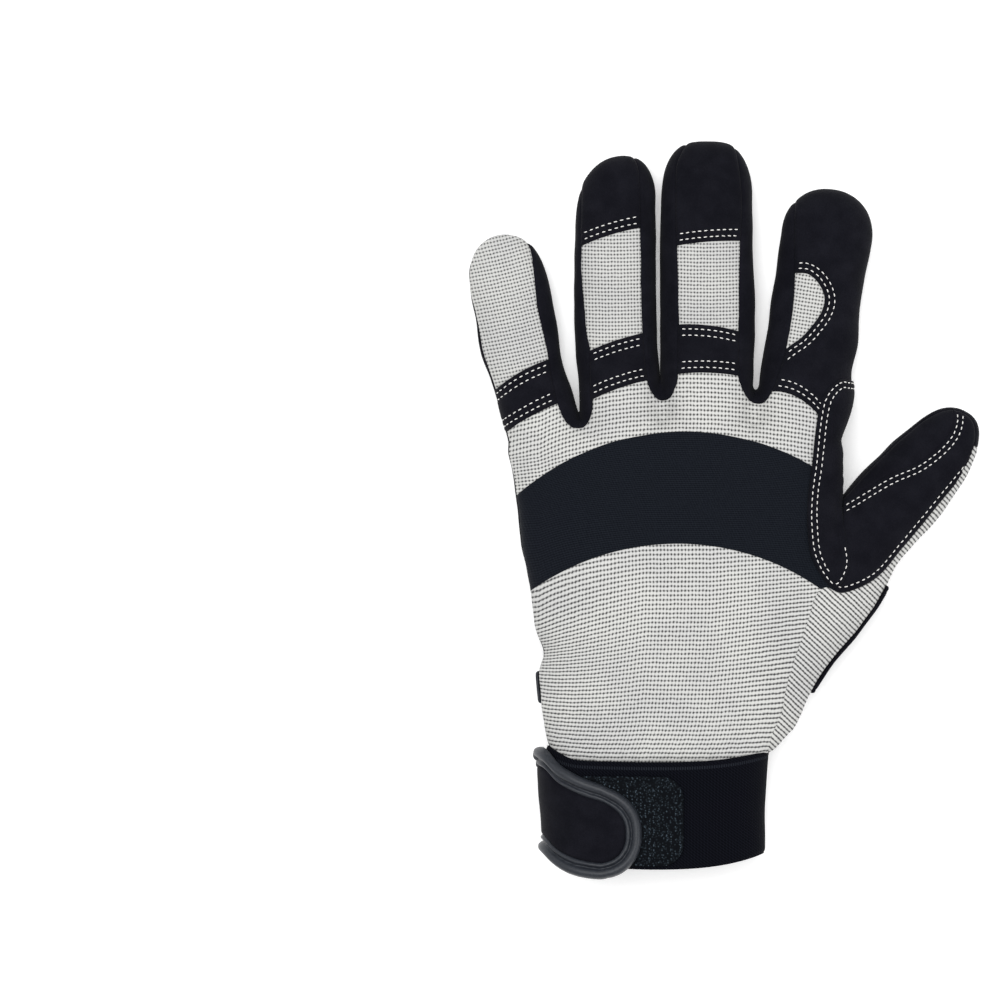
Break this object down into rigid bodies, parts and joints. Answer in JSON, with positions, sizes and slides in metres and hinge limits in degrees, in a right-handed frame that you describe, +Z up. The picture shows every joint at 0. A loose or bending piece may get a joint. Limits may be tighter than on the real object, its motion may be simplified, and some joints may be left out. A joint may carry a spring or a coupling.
{
  "type": "work glove",
  "caption": "Left-hand work glove lying palm down: cloth back with ribbed knuckle band, synthetic leather palm and finger caps, elastic cuff with a hook-and-loop tab.",
  "frame": {"origin": "centre of the bounding box at its bottom, on the surface that the glove lies on", "axes": "+Y along the middle finger towards its tip, +X towards the thumb, +Z up, out of the back of the hand"},
  "size_m": [0.1716, 0.24, 0.0364],
  "materials": {
    "black_leather": "black synthetic suede, matt with a soft nap",
    "grey_cloth": "light grey ribbed stretch knit",
    "band_cloth": "near-black fine ribbed stretch cloth",
    "elastic": "black ribbed elastic webbing",
    "loop_pile": "black loop pile of a hook-and-loop closure",
    "piping": "dark satin binding tape",
    "thread": "off-white sewing thread"
  },
  "bodies": {
    "root": {"palm_panel": "black_leather", "palm_pad": "black_leather", "heel_patch": "black_leather", "side_patch": "black_leather", "back_panel": "grey_cloth", "knuckle_band": "band_cloth", "knuckle_panel": "grey_cloth", "thumb_gusset": "grey_cloth", "thumb_inner_panel": "black_leather", "thumb_outer_panel": "black_leather", "little_knuckle_bar": "black_leather", "little_back_panel": "grey_cloth", "ring_knuckle_bar": "black_leather", "ring_back_panel": "grey_cloth", "ring_tip_cap": "black_leather", "middle_knuckle_bar": "black_leather", "middle_back_panel": "grey_cloth", "middle_tip_cap": "black_leather", "index_back_panel": "black_leather", "index_window": "grey_cloth", "fourchette_little_ring": "black_leather", "fourchette_ring_middle": "black_leather", "fourchette_middle_index": "black_leather", "cuff_band": "elastic", "loop_patch": "loop_pile", "wrist_tab": "black_leather", "tab_piping": "piping", "vent_piping": "piping"}
  },
  "joints": []
}
